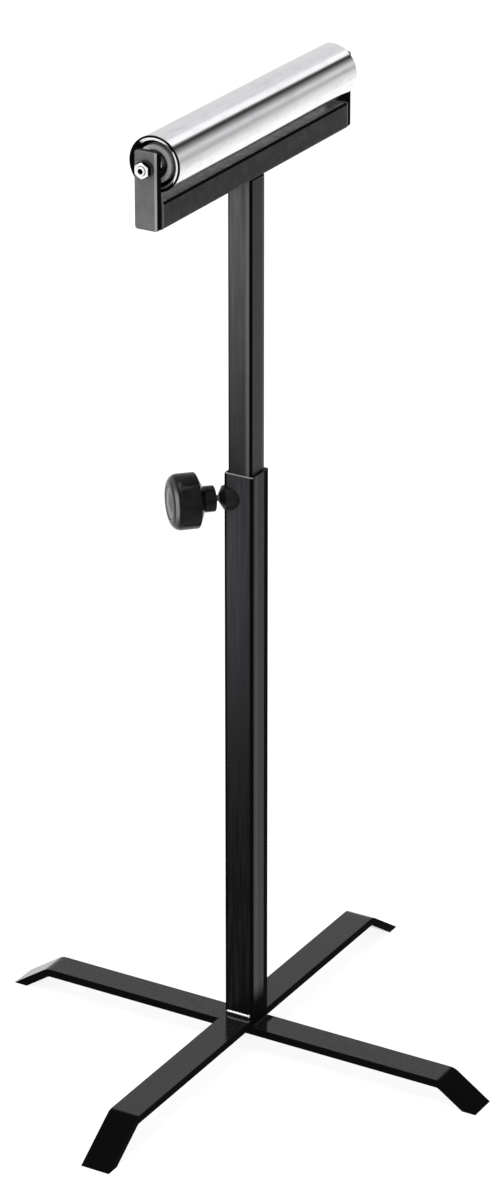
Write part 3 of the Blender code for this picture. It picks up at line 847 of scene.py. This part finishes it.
def boss_weld(material):
    """Fillet round the clamp boss, over the column's corner."""
    point, direction = axis_of("clamp_turn")
    boss_low, boss_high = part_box("clamp_boss")
    radius = (boss_high.z - boss_low.z) / 2
    across = Vector((0.0, 0.0, 1.0)).cross(direction)
    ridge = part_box("outer_column")[1].x * math.sqrt(2)
    path = []
    for i in range(BOSS_BEAD_POINTS):
        turn = math.tau * i / BOSS_BEAD_POINTS
        aside = radius * math.cos(turn)
        rise = radius * math.sin(turn)
        depth = min(ridge - abs(aside), ridge - BOSS_BEAD_SINK)
        path.append(point + across * aside + Vector((0.0, 0.0, rise)) + direction * depth)
    weld_bead("clamp_boss_weld", path, material, "base", closed=True, radius=BOSS_BEAD_RADIUS)


def head_welds(material):
    """Fillets under the beam at the mast, and at the beam's ends."""
    mast_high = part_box("inner_column")[1]
    beam_low, beam_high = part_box("head_beam")
    half = mast_high.y
    for side, word in ((-1, "near"), (1, "far")):
        x = side * mast_high.x
        path = [(x, WELD_INSET - half, beam_low.z), (x, half - WELD_INSET, beam_low.z)]
        weld_bead(f"mast_head_weld_{word}", path, material, "head", radius=MAST_BEAD_RADIUS)
        x = side * beam_high.x
        path = [(x, WELD_INSET - half, beam_high.z), (x, half - WELD_INSET, beam_high.z)]
        weld_bead(f"beam_end_weld_{word}", path, material, "head", radius=BEAM_BEAD_RADIUS)


def studio_floor():
    """A pale sweep that gives off light, so that it stays nearly white under the stand."""
    paper = Finish("pale_paper")
    tooth = paper.noise(60.0, 3.0)
    reach = paper.position("Y") * (1.0 / FLOOR_RAMP_LENGTH) + 1.0
    stops = tuple((place, (grey, grey, grey)) for place, grey in FLOOR_GREYS)
    sweep = paper.node("ShaderNodeValToRGB", {"stops": stops}, {"Fac": reach})
    tone = paper.blend(tooth * 0.1, sweep, (0.50, 0.50, 0.50))
    paper.feed(Base_Color=paper.blend(0.80, tone, (0.0, 0.0, 0.0)), Emission_Color=tone)
    paper.feed(Emission_Strength=0.90, Roughness=0.9, Specular_IOR_Level=0.1)
    shape = bmesh.new()
    bmesh.ops.create_grid(shape, x_segments=2, y_segments=2, size=FLOOR_SIZE / 2)
    bmesh.ops.translate(shape, verts=shape.verts[:], vec=(0.0, 0.0, -FLOOR_DROP))
    mesh = bpy.data.meshes.new("studio_floor")
    shape.to_mesh(mesh)
    shape.free()
    mesh.materials.append(paper.material)
    floor = bpy.data.objects.new("studio_floor", mesh)
    bpy.context.scene.collection.objects.link(floor)


def studio_sky():
    """The room, told by the angle round the roller: pale walls, one dark gap, grey to the right."""
    world = bpy.data.worlds.new("studio")
    world.use_nodes = True
    bpy.context.scene.world = world
    sky = Finish("studio", tree=world.node_tree)
    direction = sky.node("ShaderNodeTexCoord", output="Generated")
    x, y, z = (sky.node("ShaderNodeSeparateXYZ", inputs={"Vector": direction}, output=a) for a in "XYZ")
    turn = z.math("ARCTAN2", z, y) * (1.0 / math.tau) + 0.5
    stops = tuple((0.5 + degrees / 360.0, (grey, grey, grey * 1.01)) for degrees, grey in SKY_GREYS)
    room = sky.node("ShaderNodeValToRGB", {"stops": stops}, {"Fac": turn})
    tone = sky.blend(x.between(0.05, 0.35), (0.95, 0.95, 0.96), room)
    background = world.node_tree.nodes["Background"]
    world.node_tree.links.new(tone.socket, background.inputs["Color"])
    background.inputs["Strength"].default_value = 1.0


def soft_light(name, place, aim, size, watts):
    lamp = bpy.data.lights.new(name, "AREA")
    lamp.shape = "RECTANGLE"
    lamp.size, lamp.size_y = size
    lamp.energy = watts
    holder = bpy.data.objects.new(name, lamp)
    holder.location = place
    holder.rotation_euler = (Vector(place) - Vector(aim)).to_track_quat("Z", "Y").to_euler()
    bpy.context.scene.collection.objects.link(holder)


def photo_camera():
    back = Vector((
        math.sin(CAMERA_HEADING) * math.cos(CAMERA_LIFT),
        -math.cos(CAMERA_HEADING) * math.cos(CAMERA_LIFT),
        math.sin(CAMERA_LIFT),
    ))
    right = Vector((math.cos(CAMERA_HEADING), math.sin(CAMERA_HEADING), 0.0))
    lens = bpy.data.cameras.new("photo_camera")
    lens.sensor_fit = "VERTICAL"
    lens.sensor_height = SENSOR_HEIGHT_MM
    lens.lens = FOCAL_PIXELS * SENSOR_HEIGHT_MM / PHOTO_HEIGHT
    lens.clip_end = 200.0
    camera = bpy.data.objects.new("photo_camera", lens)
    camera.location = Vector((0.0, 0.0, AIM_HEIGHT)) + right * AIM_RIGHT + back * CAMERA_DISTANCE
    camera.rotation_euler = back.to_track_quat("Z", "Y").to_euler()
    bpy.context.scene.collection.objects.link(camera)
    bpy.context.scene.camera = camera


def both_ends(*names):
    return [f"{name}_{end}" for name in names for end in ("near", "far")]


photo_camera()
studio_floor()
studio_sky()
soft_light(
    "left_softbox",
    place=(-3.27, 1.87, 2.09),
    aim=(0.0, 0.0, 0.57),
    size=(1.6, 1.6),
    watts=14.0,
)
soft_light(
    "top_softbox",
    place=(-0.6, 0.3, 4.0),
    aim=(0.0, 0.0, 0.4),
    size=(2.4, 2.4),
    watts=70.0,
)
bpy.context.scene.view_settings.view_transform = "Standard"

column_paint = column_enamel()
mast_paint = mast_enamel()
beam_paint = beam_enamel()
weld_paint = enamel("weld_enamel", (0.004, 0.004, 0.005), (0.014, 0.014, 0.015), 0.30).material
chrome = roller_chrome()
zinc = zinc_plate("zinc_plate", BRIGHT_ZINC, (0.80, 0.80, 0.79))
stud_zinc = zinc_plate("stud_zinc", (0.30, 0.30, 0.30), (0.16, 0.16, 0.16))
axle_height = axis_of("roller_spin")[0].z
turned_steel = lathe_steel("turned_steel", (0.44, 0.44, 0.45), (0.28, 0.28, 0.29), 0.30, axle_height)
bearing_steel = lathe_steel("bearing_steel", (0.66, 0.66, 0.67), (0.50, 0.50, 0.51), 0.16, axle_height)
nut_plate = nut_zinc()
housing_paint = housing_steel()
plastic = moulded_plastic()

dress(bar_enamel("upper_bar_enamel", "upper_leg_bar", "Y", UPPER_BAR_SLOPE), "upper_leg_bar")
dress(bar_enamel("lower_bar_enamel", "lower_leg_bar", "X", LOWER_BAR_SLOPE), "lower_leg_bar")
dress(column_paint, "outer_column")
dress(weld_paint, "clamp_boss")
dress(mast_paint, "inner_column")
dress(beam_paint, "head_beam")
dress(plate_enamel(), *both_ends("end_plate"))
dress(bearing_steel, *(name for name in frame["nodes"] if name.startswith("bearing_ball")))
dress(bearing_steel, *both_ends("bearing_cage"))
dress(chrome, "roller_tube")
dress(plastic, "clamp_knob")
dress(stud_zinc, "clamp_stud")
dress(nut_plate, "axle", *both_ends("axle_washer", "axle_nut"))
dress(turned_steel, *both_ends("axle_spacer"))
dress(housing_paint, *both_ends("roller_housing"))
dress(bearing_steel, *both_ends("bearing_outer_ring", "bearing_inner_ring"))
dress(bearing_steel, *both_ends("bearing_shield_outboard", "bearing_shield_inboard"))

roller_shell(chrome)
knob_grip(plastic)
threaded_stud(stud_zinc)
for end_name in ("near", "far"):
    hex_nut(f"axle_nut_{end_name}", nut_plate)
    turned_finely(f"axle_washer_{end_name}", "roller_spin", nut_plate, "head")
    turned_finely(f"roller_housing_{end_name}", "roller_spin", housing_paint, "roller")
base_welds(weld_paint, zinc)
boss_weld(weld_paint)
head_welds(weld_paint)
